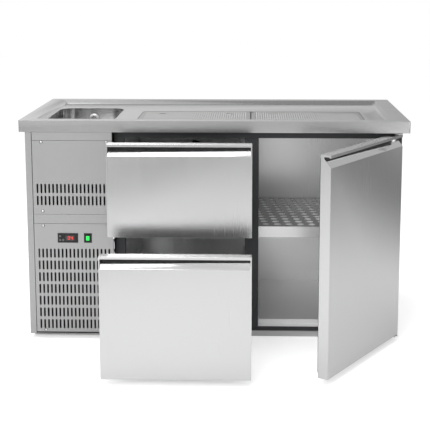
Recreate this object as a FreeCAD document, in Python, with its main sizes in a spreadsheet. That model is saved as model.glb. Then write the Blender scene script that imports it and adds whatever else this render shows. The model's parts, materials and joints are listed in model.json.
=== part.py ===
import FreeCAD, Part
import math
import os
import re

import Sketcher
from FreeCAD import Placement, Rotation, Vector

# Refrigerated bar counter: stainless worktop with a sink bowl and two drip plates, a machine bay on
# the left, two drawers in the middle and one hinged door on the right.
# +X is to the right seen from the front, the front looks along -Y, +Z is up. The origin is on the
# floor under the middle of the worktop. The drawers and the door are drawn part open.

doc = FreeCAD.newDocument("under_counter_fridge")

# ---------------------------------------------------------------------------------------------
# driving dimensions, millimetres and degrees
# ---------------------------------------------------------------------------------------------
SIZES = [
    ("length", 1500), ("depth", 700), ("height", 875),
    ("top_thickness", 45), ("rim_front", 50), ("rim_side", 60), ("rim_slope", 20), ("recess_depth", 15),
    ("overhang", 22), ("front_overhang", 10), ("steel", 1.5),
    ("plinth_height", 20), ("plinth_width", 32), ("plinth_inset", 7), ("foot_spacing_x", 1410),
    ("foot_spacing_y", 583), ("foot_bore", 10), ("base_thickness", 2),
    ("bay_width", 338), ("stile_left", 38), ("drawer_opening", 472), ("mullion", 54),
    ("door_opening", 526), ("frame_depth", 30), ("top_rail", 30), ("bottom_rail", 20),
    ("cold_depth", 540), ("cold_floor", 60), ("liner", 1),
    ("front_thickness", 40), ("gasket_thickness", 10), ("gasket_width", 14), ("gasket_inset", 13),
    ("front_low", 24), ("front_high", 822), ("drawer_split", 472), ("front_gap", 8),
    ("drawer_width", 530), ("door_width", 568), ("grip_height", 44), ("grip_lip", 10),
    ("grip_lip_thickness", 6), ("grip_top", 7), ("grip_depth", 26), ("grip_back", 14), ("grip_cap", 5),
    ("upper_out", 242), ("lower_out", 475), ("door_angle", 57),
    ("hinge_inset", 10), ("hinge_radius", 4), ("hinge_clearance", 0.05), ("hinge_plate", 2.5),
    ("drawer_depth", 470), ("drawer_wall", 2), ("runner_length", 480),
    ("runner_space", 15), ("upper_box_low", 512), ("upper_box_high", 700),
    ("lower_box_low", 80), ("lower_box_high", 340), ("runner_gauge", 1.5),
    ("shelf_height", 440), ("shelf_lip", 32), ("shelf_hole", 28), ("shelf_pitch", 46), ("shelf_holes", 11),
    ("shelf_drift", 6), ("shelf_rail_reach", 22), ("stiffener_back", 10), ("stiffener_low", 46),
    ("slot_width", 7), ("slot_height", 37), ("slot_pitch_x", 15.3), ("slot_pitch_z", 48),
    ("slot_columns", 19), ("slot_rows", 7), ("panel_gap", 2), ("lower_slot_z", 60.5), ("upper_slot_z", 559),
    ("upper_slot_rows", 2), ("back_slot_z", 104), ("back_slot_rows", 4), ("screw_shank", 2),
    ("side_return", 24), ("lower_panel_top", 467), ("upper_panel_low", 505), ("upper_panel_top", 795),
    ("bowl_width", 274), ("bowl_length", 412), ("bowl_depth", 180), ("bowl_left", -669),
    ("bowl_front", -275), ("bowl_corner", 55), ("bowl_foot", 30), ("waste_radius", 26),
    ("rosette_radius", 21), ("drain_pipe", 20), ("strainer_bar", 3),
    ("trough_left", -309), ("trough_front", -272), ("trough_width", 902), ("trough_length", 312),
    ("trough_depth", 24), ("trough_foot", 1.8), ("plate_gap", 4), ("plate_corner", 18), ("plate_lip", 22.5),
    ("finger_radius", 13), ("finger_inset", 85), ("spigot_radius", 16),
    ("fan_radius", 105), ("fan_hub", 26), ("fan_blades", 5), ("blade_chord", 0.5), ("cold_fan_radius", 62),
    ("bay_unit_z", 190), ("coil_top", 380), ("compressor_radius", 78), ("compressor_height", 175),
    ("compressor_y", 172), ("cold_coil_low", 560), ("cold_coil_high", 740), ("cold_coil_depth", 57),
    ("control_left", -610), ("control_low", 392), ("control_width", 79), ("control_height", 37),
    ("rocker_left", -507), ("rocker_width", 30), ("rocker_pin", 1.5), ("button_size", 7),
    ("gland_radius", 9), ("gland_bore", 4), ("gland_x", -560), ("gland_z", 60),
]

sheet = doc.addObject("Spreadsheet::Sheet", "sizes")
for row, (alias, value) in enumerate(SIZES, 1):
    sheet.set(f"A{row}", alias)
    sheet.set(f"B{row}", str(value))
    sheet.setAlias(f"B{row}", alias)
doc.recompute()

# Places worked out from the driving dimensions.
PLACES = {
    "top_under": "height - top_thickness",
    "deck": "height - recess_depth",
    "cab_left": "0 - length / 2 + overhang",
    "cab_right": "length / 2 - overhang",
    "cab_back": "depth / 2 - front_overhang",
    "fronts": "0 - depth / 2 + front_overhang",
    "front_inside": "fronts + front_thickness",
    "frame_front": "front_inside + gasket_thickness",
    "frame_back": "frame_front + frame_depth",
    "bay_right": "cab_left + bay_width",
    "drawers_left": "bay_right + stile_left",
    "drawers_right": "drawers_left + drawer_opening",
    "drawers_middle": "drawers_left + drawer_opening / 2",
    "door_open_left": "drawers_right + mullion",
    "door_open_right": "door_open_left + door_opening",
    "door_middle": "door_open_left + door_opening / 2",
    "base_top": "plinth_height + base_thickness",
    "sill": "plinth_height + bottom_rail",
    "cold_top": "top_under - top_rail",
    "cold_back": "frame_back + cold_depth",
    "skin_left": "cab_left + steel",
    "skin_right": "cab_right - steel",
    "skin_back": "cab_back - steel",
    "panel_left": "cab_left + side_return + panel_gap",
    "panel_right": "bay_right - panel_gap",
    "panel_middle": "(panel_left + panel_right) / 2",
    "hinge_x": "door_middle + door_width / 2 - hinge_inset",
    "hinge_y": "fronts + hinge_inset",
    "divider": "drawers_right + liner",
    "box_width": "drawer_opening - 2 * runner_space",
    "bowl_right": "bowl_left + bowl_width",
    "bowl_back": "bowl_front + bowl_length",
    "bowl_low": "deck - bowl_depth",
    "bowl_middle": "bowl_left + bowl_width / 2",
    "waste_y": "bowl_back - 90",
    "trough_right": "trough_left + trough_width",
    "trough_back": "trough_front + trough_length",
    "trough_low": "deck - trough_depth",
    "upper_low": "drawer_split + front_gap / 2",
    "lower_high": "drawer_split - front_gap / 2",
    "control_high": "control_low + control_height",
    "rocker_middle": "rocker_left + rocker_width / 2",
    "control_middle": "control_low + control_height / 2",
    "plinth_front": "frame_front - 5",
    "plinth_back": "cab_back - 20",
    "foot_middle": "(plinth_front + plinth_back) / 2",
    "cold_fan_z": "(cold_coil_low + cold_coil_high) / 2",
}
ALIASES = {alias for alias, value in SIZES}


def expand(text):
    """Turn a formula in plain names into one that reads the sheet."""
    def name(match):
        word = match.group(0)
        if word in PLACES:
            return "(" + expand(PLACES[word]) + ")"
        return "sizes." + word if word in ALIASES else word
    return re.sub(r"[a-z]+(?:_[a-z]+)*", name, str(text))


def number(text):
    """The present value of such a formula."""
    value = sheet.evalExpression(expand(text))
    return float(getattr(value, "Value", value))


def bind(item, prop, text):
    item.setExpression(prop, expand(text))


# ---------------------------------------------------------------------------------------------
# Part primitives and booleans
# ---------------------------------------------------------------------------------------------
PIECES = []


def piece(item, label):
    """Mark an object as a finished sub-part."""
    item.Label = label
    PIECES.append(item)
    return item


def box(label, x, y, z):
    """A box between two places along each axis."""
    item = doc.addObject("Part::Box", label)
    for prop, axis, (low, high) in (("Length", "x", x), ("Width", "y", y), ("Height", "z", z)):
        bind(item, prop, f"({high}) - ({low})")
        bind(item, ".Placement.Base." + axis, low)
    return item


TURNS = {"z": Rotation(), "x": Rotation(Vector(0, 1, 0), 90), "y": Rotation(Vector(1, 0, 0), -90)}


def rod(label, axis, start, radius, length):
    """A cylinder from start along +axis."""
    item = doc.addObject("Part::Cylinder", label)
    item.Placement = Placement(Vector(), TURNS[axis])
    bind(item, "Radius", radius)
    bind(item, "Height", length)
    for name, place in zip("xyz", start):
        bind(item, ".Placement.Base." + name, place)
    return item


def fuse(label, *items):
    item = doc.addObject("Part::MultiFuse", label)
    item.Shapes = list(items)
    item.Refine = True
    return item


def cut(label, base, *tools):
    item = doc.addObject("Part::Cut", label)
    item.Base = base
    item.Tool = tools[0] if len(tools) == 1 else fuse(label + "_tools", *tools)
    item.Refine = True
    return item


def group(label, *items):
    """Identical pieces that stay separate solids in one node."""
    item = doc.addObject("Part::Compound", label)
    item.Links = list(items)
    return item


# ---------------------------------------------------------------------------------------------
# PartDesign bodies
# ---------------------------------------------------------------------------------------------
def new_body(label):
    return doc.addObject("PartDesign::Body", label)


def new_sketch(body, name, plane, offset="0"):
    """A sketch on one of the body's own origin planes, moved along that plane's normal."""
    sketch = body.newObject("Sketcher::SketchObject", name)
    origin = [item for item in body.Origin.OriginFeatures if item.Role == plane + "_Plane"][0]
    sketch.AttachmentSupport = (origin, "")
    sketch.MapMode = "FlatFace"
    bind(sketch, ".AttachmentOffset.Base.z", offset)
    return sketch


def place_point(sketch, geometry, point, place):
    """Hold a point of a sketch at a place bound to the sheet."""
    for kind, text in zip(("DistanceX", "DistanceY"), place):
        index = sketch.addConstraint(Sketcher.Constraint(kind, -1, 1, geometry, point, number(text)))
        bind(sketch, f"Constraints[{index}]", text)


def outline(sketch, points):
    """A closed outline of straight lines through points bound to the sheet."""
    places = [Vector(number(x), number(y), 0) for x, y in points]
    first = sketch.GeometryCount
    count = len(points)
    for index in range(count):
        sketch.addGeometry(Part.LineSegment(places[index], places[(index + 1) % count]), False)
    for index in range(count):
        following = first + (index + 1) % count
        sketch.addConstraint(Sketcher.Constraint("Coincident", first + index, 2, following, 1))
        place_point(sketch, first + index, 1, points[index])


def rectangle(x, y):
    return [(x[0], y[0]), (x[1], y[0]), (x[1], y[1]), (x[0], y[1])]


def circle(sketch, centre, radius):
    middle = Vector(number(centre[0]), number(centre[1]), 0)
    ring = Part.Circle(middle, Vector(0, 0, 1), number(radius))
    index = sketch.addGeometry(ring, False)
    place_point(sketch, index, 3, centre)
    held = sketch.addConstraint(Sketcher.Constraint("Radius", index, number(radius)))
    bind(sketch, f"Constraints[{held}]", radius)


def upright_slot(sketch, centre, width, height):
    """A slot with round ends, longest along the sketch's second axis."""
    across, along = number(centre[0]), number(centre[1])
    radius = number(width) / 2
    reach = number(height) / 2 - radius
    up = Vector(0, 0, 1)
    top = sketch.addGeometry(
        Part.ArcOfCircle(Part.Circle(Vector(across, along + reach, 0), up, radius), 0, math.pi), False)
    low = sketch.addGeometry(
        Part.ArcOfCircle(Part.Circle(Vector(across, along - reach, 0), up, radius), math.pi, 2 * math.pi),
        False)
    right = sketch.addGeometry(Part.LineSegment(Vector(across + radius, along - reach, 0),
                                                Vector(across + radius, along + reach, 0)), False)
    left = sketch.addGeometry(Part.LineSegment(Vector(across - radius, along + reach, 0),
                                               Vector(across - radius, along - reach, 0)), False)
    for arc, arc_end, line, line_end in ((top, 1, right, 2), (top, 2, left, 1),
                                         (low, 1, left, 2), (low, 2, right, 1)):
        sketch.addConstraint(Sketcher.Constraint("Tangent", arc, arc_end, line, line_end))
    held = sketch.addConstraint(Sketcher.Constraint("Radius", top, radius))
    bind(sketch, f"Constraints[{held}]", f"({width}) / 2")
    place_point(sketch, top, 3, (centre[0], f"({centre[1]}) + (({height}) - ({width})) / 2"))
    place_point(sketch, low, 3, (centre[0], f"({centre[1]}) - (({height}) - ({width})) / 2"))


def pad(body, sketch, length):
    feature = body.newObject("PartDesign::Pad", "Pad")
    feature.Profile = sketch
    bind(feature, "Length", length)
    return feature


def pocket(body, sketch, length, reverse=False):
    feature = body.newObject("PartDesign::Pocket", "Pocket")
    feature.Profile = sketch
    feature.Reversed = reverse
    bind(feature, "Length", length)
    return feature


def prism(label, plane, points, span, holes=()):
    """A body of one pad: an outline in a plane, from span[0] to span[1] along the third axis.

    The XZ plane's normal is -Y, so its sketch lies at the far end of the span.
    """
    body = new_body(label)
    offset = f"0 - ({span[1]})" if plane == "XZ" else span[0]
    sketch = new_sketch(body, label + "_outline", plane, offset)
    outline(sketch, points)
    for hole in holes:
        outline(sketch, hole)
    pad(body, sketch, f"({span[1]}) - ({span[0]})")
    return body


def round_edges(body, radius, chosen):
    """Fillet the edges of the body's tip for which chosen(edge) is true."""
    doc.recompute()
    base = body.Tip
    names = [f"Edge{index}" for index, edge in enumerate(base.Shape.Edges, 1) if chosen(edge)]
    feature = body.newObject("PartDesign::Fillet", "Fillet")
    feature.Base = (base, names)
    bind(feature, "Radius", radius)
    doc.recompute()
    return feature


def is_upright(edge):
    ends = edge.Vertexes
    if len(ends) != 2:
        return False
    along = ends[1].Point - ends[0].Point
    return abs(along.z) > 0.1 and abs(along.x) < 0.01 and abs(along.y) < 0.01


def repeat(body, feature, runs):
    """Repeat a feature along X and/or Z: runs holds (axis role, count, total length)."""
    pattern = body.newObject("PartDesign::MultiTransform", "Repeat")
    pattern.Originals = [feature]
    steps = []
    for role, count, total in runs:
        step = body.newObject("PartDesign::LinearPattern", "Row")
        axis = [item for item in body.Origin.OriginFeatures if item.Role == role + "_Axis"][0]
        step.Direction = (axis, [""])
        bind(step, "Length", total)
        bind(step, "Occurrences", count)
        steps.append(step)
    pattern.Transformations = steps
    body.Tip = pattern
    return pattern


# ---------------------------------------------------------------------------------------------
# worktop, sink bowl and drip plates
# ---------------------------------------------------------------------------------------------
def rounded_cut(body, name, x, y, high, length, corner):
    """A pocket with rounded corners, straight down from the level high."""
    sketch = new_sketch(body, name, "XY", high)
    outline(sketch, rectangle(x, y))
    pocket(body, sketch, length)
    left, right = (number(text) for text in x)
    front, back = (number(text) for text in y)

    def corner_edge(edge):
        if not is_upright(edge):
            return False
        point = edge.Vertexes[0].Point
        return (min(abs(point.x - left), abs(point.x - right)) < 0.01
                and min(abs(point.y - front), abs(point.y - back)) < 0.01)
    round_edges(body, corner, corner_edge)


def make_worktop():
    """A slab with raised flat rims, a sloped step down to the deck, and the two large cut-outs."""
    half_x, half_y = "length / 2", "depth / 2"
    body = prism("worktop", "XY", rectangle((f"0 - {half_x}", half_x), (f"0 - {half_y}", half_y)),
                 ("top_under", "height"))
    loft = body.newObject("PartDesign::SubtractiveLoft", "Recess")
    rings = []
    for name, level, step in (("rim_inside", "height", "0"), ("deck_edge", "deck", "rim_slope")):
        sketch = new_sketch(body, name, "XY", level)
        side = f"{half_x} - rim_side - {step}"
        front = f"{half_y} - rim_front - {step}"
        outline(sketch, rectangle((f"0 - ({side})", side), (f"0 - ({front})", front)))
        rings.append(sketch)
    loft.Profile = rings[0]
    loft.Sections = [rings[1]]
    loft.Ruled = True
    rounded_cut(body, "bowl_opening", ("bowl_left - 0.2", "bowl_right + 0.2"),
                ("bowl_front - 0.2", "bowl_back + 0.2"), "deck", "top_thickness", "bowl_corner")
    rounded_cut(body, "trough_opening", ("trough_left - 0.2", "trough_right + 0.2"),
                ("trough_front - 0.2", "trough_back + 0.2"), "deck", "top_thickness", "plate_corner + 2")
    half = number(half_x)
    round_edges(body, "rim_slope / 4",
                lambda edge: is_upright(edge) and abs(abs(edge.Vertexes[0].Point.x) - half) < 0.01)
    return piece(body, "worktop")


def hollow(body, open_high, wall):
    """Shell the tip's solid, open at its top face, with the wall inside the outer form."""
    doc.recompute()
    base = body.Tip
    level = number(open_high)
    names = [f"Face{index}" for index, face in enumerate(base.Shape.Faces, 1)
             if abs(face.CenterOfMass.z - level) < 0.01 and abs(face.normalAt(0, 0).z) > 0.99]
    feature = body.newObject("PartDesign::Thickness", "Shell")
    feature.Base = (base, names)
    feature.Reversed = True
    bind(feature, "Value", wall)
    doc.recompute()


def make_pan(label, x, y, low, high, corner, foot):
    """A pressed pan with rounded corners and foot."""
    body = prism(label, "XY", rectangle(x, y), (low, high))
    round_edges(body, corner, is_upright)
    level = number(low)
    round_edges(body, foot, lambda edge: abs(edge.BoundBox.ZMax - level) < 0.01)
    hollow(body, high, "steel")
    return body


def round_hole(body, name, plane, offset, centre, radius, length, reverse=False):
    sketch = new_sketch(body, name, plane, offset)
    circle(sketch, centre, radius)
    pocket(body, sketch, length, reverse)


def make_bowl():
    body = make_pan("sink_bowl", ("bowl_left", "bowl_right"), ("bowl_front", "bowl_back"),
                    "bowl_low", "deck", "bowl_corner", "bowl_foot")
    round_hole(body, "waste_hole", "XY", "bowl_low + 10", ("bowl_middle", "waste_y"),
               "waste_radius + 0.2", 20)
    round_hole(body, "overflow_hole", "XZ", "0 - (bowl_back - 10)", ("bowl_middle", "deck - 45"),
               "rosette_radius - 6", 20)
    return piece(body, "sink_bowl")


def revolved(label, points, place, turn=None):
    """A turned piece: points are (radius, height) about its own axis."""
    body = new_body(label)
    sketch = new_sketch(body, label + "_section", "XZ")
    outline(sketch, points)
    feature = body.newObject("PartDesign::Revolution", "Revolution")
    feature.Profile = sketch
    feature.ReferenceAxis = (sketch, ["V_Axis"])
    feature.Angle = 360
    body.Placement = Placement(Vector(), turn or Rotation())
    for name, text in zip("xyz", place):
        bind(body, ".Placement.Base." + name, text)
    return body


def make_waste():
    """Waste flange inside the bowl, with cross bars in its mouth and the tail pipe below."""
    flange, bore = "waste_radius + 14", "drain_pipe - 2.5"
    points = [(bore, "0 - 95"), ("drain_pipe", "0 - 95"), ("drain_pipe", "0 - 20"),
              ("waste_radius", "0 - 20"), ("waste_radius", "steel"), (flange, "steel"),
              (flange, "steel + 2"), (bore, "steel + 1")]
    tail = revolved("waste_tail", points, ("bowl_middle", "waste_y", "bowl_low"))
    half, reach, level = "strainer_bar / 2", "(drain_pipe - 1)", ("bowl_low - 2", "bowl_low + steel - 0.5")
    middle = {"x": "bowl_middle", "y": "waste_y"}
    thin = {axis: (f"{place} - {half}", f"{place} + {half}") for axis, place in middle.items()}
    long = {axis: (f"{place} - {reach}", f"{place} + {reach}") for axis, place in middle.items()}
    bars = [box("strainer_bar_across", long["x"], thin["y"], level),
            box("strainer_bar_deep", thin["x"], long["y"], level)]
    return piece(fuse("waste_block", tail, *bars), "sink_waste")


def make_rosette():
    """Round overflow cover on the bowl's back wall."""
    points = [("0", "0 - 12"), ("rosette_radius - 6.3", "0 - 12"), ("rosette_radius - 6.3", "0"),
              ("rosette_radius", "0"), ("rosette_radius", "2"), ("rosette_radius - 5", "4.5"), ("0", "5")]
    place = ("bowl_middle", "bowl_back - steel", "deck - 45")
    turn = Rotation(Vector(1, 0, 0), 90)
    return piece(revolved("overflow_rosette", points, place, turn), "overflow_rosette")


def make_trough():
    """Shallow catch pan under both drip plates, with a spigot at its lowest end."""
    body = make_pan("drip_trough", ("trough_left", "trough_right"), ("trough_front", "trough_back"),
                    "trough_low", "deck", "plate_corner + 2", "trough_foot")
    sketch = new_sketch(body, "spigot", "XY", "trough_low - 4")
    circle(sketch, ("trough_right - 80", "trough_back - 80"), "spigot_radius")
    pad(body, sketch, "4.5")
    round_hole(body, "spigot_bore", "XY", "trough_low + 10", ("trough_right - 80", "trough_back - 80"),
               "spigot_radius - 2", 30)
    return piece(body, "drip_trough")


def make_drip_plate(label, left):
    """Inset plate with turned-down edges and a finger hole near each end."""
    width = "((trough_width - plate_gap - 4) / 2)"
    right = f"({left}) + {width}"
    front, back = "trough_front + steel + 0.6", "trough_back - steel - 0.6"
    body = prism(label, "XY", rectangle((left, right), (front, back)), ("deck - plate_lip", "deck - 0.5"))
    round_edges(body, "plate_corner", is_upright)
    inner = new_sketch(body, label + "_underside", "XY", "deck - plate_lip")
    outline(inner, rectangle((f"({left}) + 14", f"({right}) - 14"), (f"{front} + steel", f"{back} - steel")))
    pocket(body, inner, "plate_lip - 0.5 - steel", True)
    for name, place in (("first", f"({left}) + finger_inset"), ("second", f"({right}) - finger_inset")):
        round_hole(body, label + "_" + name, "XY", "height", (place, "trough_back - 70"),
                   "finger_radius", 60)
    return piece(body, label)


make_worktop()
make_bowl()
make_waste()
make_rosette()
make_trough()
make_drip_plate("drip_plate_left", "trough_left + 2")
make_drip_plate("drip_plate_right", "trough_left + (trough_width + plate_gap) / 2")

# ---------------------------------------------------------------------------------------------
# plinth, outer skins, liners and foam
# ---------------------------------------------------------------------------------------------
FOOT_PLACES = [(f"{side} foot_spacing_x / 2", f"foot_middle {end} foot_spacing_y / 2")
               for side in ("0 -", "0 +") for end in ("-", "+")]


def make_plinth():
    """Channel frame under the base with a bore for each threaded foot insert."""
    x = ("cab_left + plinth_inset", "cab_right - plinth_inset")
    y = ("plinth_front", "plinth_back")
    width = "plinth_width"
    inner = rectangle((f"{x[0]} + {width}", f"{x[1]} - {width}"), (f"{y[0]} + {width}", f"{y[1]} - {width}"))
    body = prism("plinth_frame", "XY", rectangle(x, y), ("0", "plinth_height"), [inner])
    sketch = new_sketch(body, "insert_bores", "XY", "plinth_height")
    for place in FOOT_PLACES:
        circle(sketch, place, "foot_bore")
    pocket(body, sketch, "plinth_height")
    return piece(body, "plinth_frame")


def make_foot_inserts():
    """Four flanged nuts pressed into the plinth; their thread bores face down."""
    inserts = []
    points = [("5", "0"), ("foot_bore", "0"), ("foot_bore", "plinth_height"), ("5", "plinth_height")]
    for x, y in FOOT_PLACES:
        inserts.append(revolved("insert", points, (x, y, "0")))
    return piece(group("foot_inserts", *inserts), "foot_inserts")


def make_base():
    """Base sheet, stepped forward under the machine bay, with a way through for the waste pipe."""
    points = [("skin_left", "fronts + steel"), ("bay_right", "fronts + steel"), ("bay_right", "frame_front"),
              ("skin_right", "frame_front"), ("skin_right", "skin_back"), ("skin_left", "skin_back")]
    body = prism("base_plate", "XY", points, ("plinth_height", "base_top"))
    round_hole(body, "waste_way", "XY", "base_top", ("bowl_middle", "waste_y"), "drain_pipe + 5",
               "base_thickness")
    return piece(body, "base_plate")


def make_skins():
    """Left and right side skins with folded front edges, and the back skin with its air slots."""
    left = [("cab_left", "fronts"), ("cab_left + side_return", "fronts"),
            ("cab_left + side_return", "fronts + steel"), ("skin_left", "fronts + steel"),
            ("skin_left", "cab_back"), ("cab_left", "cab_back")]
    piece(prism("side_panel_left", "XY", left, ("plinth_height", "top_under")), "side_panel_left")
    right = rectangle(("skin_right", "cab_right"), ("frame_front", "cab_back"))
    piece(prism("side_panel_right", "XY", right, ("plinth_height", "top_under")), "side_panel_right")
    back = prism("back_panel", "XZ", rectangle(("skin_left", "skin_right"), ("plinth_height", "top_under")),
                 ("skin_back", "cab_back"))
    sketch = new_sketch(back, "air_slot", "XZ", "0 - cab_back")
    first = "panel_middle - slot_pitch_x * (slot_columns - 1) / 2"
    upright_slot(sketch, (first, "back_slot_z"), "slot_width", "slot_height")
    opening = pocket(back, sketch, "steel * 3")
    opening.Midplane = True
    doc.recompute()
    repeat(back, opening, [("X", "slot_columns", "slot_pitch_x * (slot_columns - 1)"),
                           ("Z", "back_slot_rows", "slot_pitch_z * (back_slot_rows - 1)")])
    doc.recompute()
    round_hole(back, "gland_hole", "XZ", "0 - (cab_back + 2)", ("gland_x", "gland_z"),
               "gland_radius + 0.1", 10, True)
    piece(back, "back_panel")


def make_gland():
    """Cable gland in the back skin, with the bore that a supply lead passes through."""
    points = [("gland_bore", "0 - 14"), ("gland_radius + 5", "0 - 14"), ("gland_radius + 5", "0 - steel"),
              ("gland_radius", "0 - steel"), ("gland_radius", "0"), ("gland_radius + 5", "0"),
              ("gland_radius + 5", "5"), ("gland_radius", "9"), ("gland_bore + 2", "9"),
              ("gland_bore", "7")]
    body = revolved("cable_gland", points, ("gland_x", "cab_back", "gland_z"), Rotation(Vector(1, 0, 0), -90))
    return piece(body, "cable_gland")


def make_liners():
    """Thin sheets that line the cold space; the floor's front edge steps down over the bottom rail."""
    x = ("drawers_left", "door_open_right")
    y = ("frame_back", "cold_back")
    floor = box("floor_sheet", x, y, ("cold_floor - liner", "cold_floor"))
    riser = box("floor_riser", x, (y[0], "frame_back + liner"), ("sill", "cold_floor"))
    treads = [box("floor_tread", opening, ("frame_front", "frame_back"), ("sill", "sill + liner"))
              for opening in (("drawers_left", "drawers_right"), ("door_open_left", "door_open_right"))]
    piece(fuse("liner_floor", floor, riser, *treads), "liner_floor")
    piece(box("liner_ceiling", x, y, ("cold_top", "cold_top + liner")), "liner_ceiling")
    piece(box("liner_back", x, ("cold_back - liner", "cold_back"), ("cold_floor", "cold_top")), "liner_back")
    sides = [box("liner_side", edge, (y[0], "cold_back - liner"), ("cold_floor", "cold_top"))
             for edge in (("drawers_left", "drawers_left + liner"),
                          ("door_open_right - liner", "door_open_right"))]
    piece(group("liner_sides", *sides), "liner_sides")


def make_foam():
    """Foamed-in insulation around the cold space, with a bore for the refrigerant lines."""
    outer = box("foam_block", ("bay_right", "skin_right"), ("frame_back + liner", "skin_back"),
                ("base_top", "top_under"))
    space = box("foam_space", ("drawers_left", "door_open_right"), ("frame_back - 1", "cold_back"),
                ("cold_floor - liner", "cold_top + liner"))
    lines = box("foam_lines", ("bay_right - 1", "drawers_left + 1"), ("cold_back - 50", "cold_back - 20"),
                ("cold_fan_z - 10", "cold_fan_z + 50"))
    return piece(cut("foam_insulation", outer, space, lines), "foam_insulation")


def make_front_frame():
    """Dark thermal-break frame that the gaskets close on: two rails and three uprights."""
    y = ("frame_front", "frame_back")
    rails = (("frame_top_rail", ("cold_top", "top_under")), ("frame_bottom_rail", ("base_top", "sill")))
    for label, z in rails:
        piece(box(label, ("bay_right", "skin_right"), y, z), label)
    piece(box("frame_cross_rail", ("drawers_left", "drawers_right"), y,
              ("drawer_split - 24", "drawer_split + 24")), "frame_cross_rail")
    uprights = (("frame_stile_left", ("bay_right", "drawers_left")),
                ("frame_mullion", ("drawers_right", "door_open_left")),
                ("frame_stile_right", ("door_open_right", "skin_right")))
    for label, x in uprights:
        piece(box(label, x, y, ("sill", "cold_top")), label)


def make_divider():
    """Upright sheet behind the mullion that carries the drawers' right-hand runners."""
    points = rectangle(("frame_back", "cold_back - liner - 40"), ("cold_floor", "cold_top"))
    body = prism("drawer_divider", "YZ", points, ("drawers_right", "divider"))
    return piece(body, "drawer_divider")


make_plinth()
make_foot_inserts()
make_base()
make_skins()
make_gland()
make_liners()
make_foam()
make_front_frame()
make_divider()

# ---------------------------------------------------------------------------------------------
# machine bay front: service panels, controller and rocker switch
# ---------------------------------------------------------------------------------------------
PANEL_X = ("panel_left", "panel_right")
PANEL_Y = ("fronts", "fronts + steel")


SCREW_X = ("panel_left + 36", "panel_right - 22")
SCREW_Z = {
    "lower_louvre_panel": ("lower_panel_top - 8", "base_top + 14"),
    "upper_service_panel": ("upper_panel_top - 6", "upper_panel_low + 12"),
}


def slotted_panel(label, z, first_slot, rows, cut_outs=()):
    """A flat service panel with screw holes and a grid of upright slots below its cut-outs."""
    body = prism(label, "XZ", rectangle(PANEL_X, z), PANEL_Y, cut_outs)
    screws = new_sketch(body, label + "_screws", "XZ", "0 - (fronts + steel)")
    for level in SCREW_Z[label]:
        for place in SCREW_X:
            circle(screws, (place, level), "screw_shank + 0.2")
    holes = pocket(body, screws, "steel * 3")
    holes.Midplane = True
    sketch = new_sketch(body, label + "_slot", "XZ", "0 - (fronts + steel)")
    first = "panel_middle - slot_pitch_x * (slot_columns - 1) / 2"
    upright_slot(sketch, (first, first_slot), "slot_width", "slot_height")
    opening = pocket(body, sketch, "steel * 3")
    opening.Midplane = True
    doc.recompute()
    repeat(body, opening, [("X", "slot_columns", "slot_pitch_x * (slot_columns - 1)"),
                           ("Z", rows, f"slot_pitch_z * ({rows} - 1)")])
    return piece(body, label)


def make_service_front():
    control = rectangle(("control_left + 4", "control_left + control_width - 4"),
                        ("control_low + 4", "control_high - 4"))
    rocker = rectangle(("rocker_left + 3", "rocker_left + rocker_width - 3"),
                       ("control_low + 3", "control_high - 3"))
    slotted_panel("lower_louvre_panel", ("base_top + 6", "lower_panel_top"), "lower_slot_z", "slot_rows",
                  [control, rocker])
    slotted_panel("upper_service_panel", ("upper_panel_low", "upper_panel_top"), "upper_slot_z",
                  "upper_slot_rows")
    strips = [prism("service_strip", "XZ", rectangle(PANEL_X, z), PANEL_Y)
              for z in (("lower_panel_top + 1", "upper_panel_low - 1"), ("upper_panel_top + 1", "top_under"))]
    piece(group("service_strips", *strips), "service_strips")


def make_screws():
    """Domed panel screws, one at each corner of the two removable panels."""
    points = [("0", "0 - 8"), ("screw_shank", "0 - 8"), ("screw_shank", "0"), ("5", "0"), ("4.4", "1.4"),
              ("2.4", "2.1"), ("0", "2.3")]
    turn = Rotation(Vector(1, 0, 0), 90)
    screws = [revolved("screw", points, (x, "fronts", z), turn)
              for levels in SCREW_Z.values() for z in levels for x in SCREW_X]
    return piece(group("panel_screws", *screws), "panel_screws")


def make_controller():
    """Digital thermostat: bezel and housing with a window recess and three button wells."""
    bezel = box("bezel", ("control_left", "control_left + control_width"), ("fronts - 4", "fronts"),
                ("control_low", "control_high"))
    housing = box("housing", ("control_left + 4.2", "control_left + control_width - 4.2"),
                  ("fronts", "fronts + 60"), ("control_low + 4.2", "control_high - 4.2"))
    window = box("window", ("control_left + 30", "control_left + 66"), ("fronts - 5", "fronts - 2.5"),
                 ("control_middle - 11", "control_middle + 11"))
    wells = [box("well", (f"{x} - 0.4", f"{x} + button_size + 0.4"), ("fronts - 5", "fronts - 0.5"),
                 (f"{z} - 0.4", f"{z} + button_size + 0.4")) for x, z in BUTTONS.values()]
    piece(cut("controller_housing", fuse("controller_block", bezel, housing), window, *wells),
          "controller_housing")


BUTTONS = {
    "button_set": ("control_left + 6", "control_middle + 4"),
    "button_down": ("control_left + 6", "control_middle - 11"),
    "button_up": ("control_left + 18", "control_middle - 11"),
}


def make_buttons():
    for label, (x, z) in BUTTONS.items():
        body = prism(label, "XZ", rectangle((x, f"{x} + button_size"), (z, f"{z} + button_size")),
                     ("fronts - 5.2", "fronts - 2.2"))
        front = number("fronts - 5.2")
        round_edges(body, "0.8", lambda edge: abs(edge.BoundBox.YMax - front) < 0.01)
        piece(body, label)


ROCKER_Y = "fronts + 1"


def rocker_axis(label, half, radius):
    """A level rod on the axis that the rocker tips about."""
    return rod(label, "x", (f"rocker_middle - ({half})", ROCKER_Y, "control_middle"), radius, f"2 * ({half})")


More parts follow.
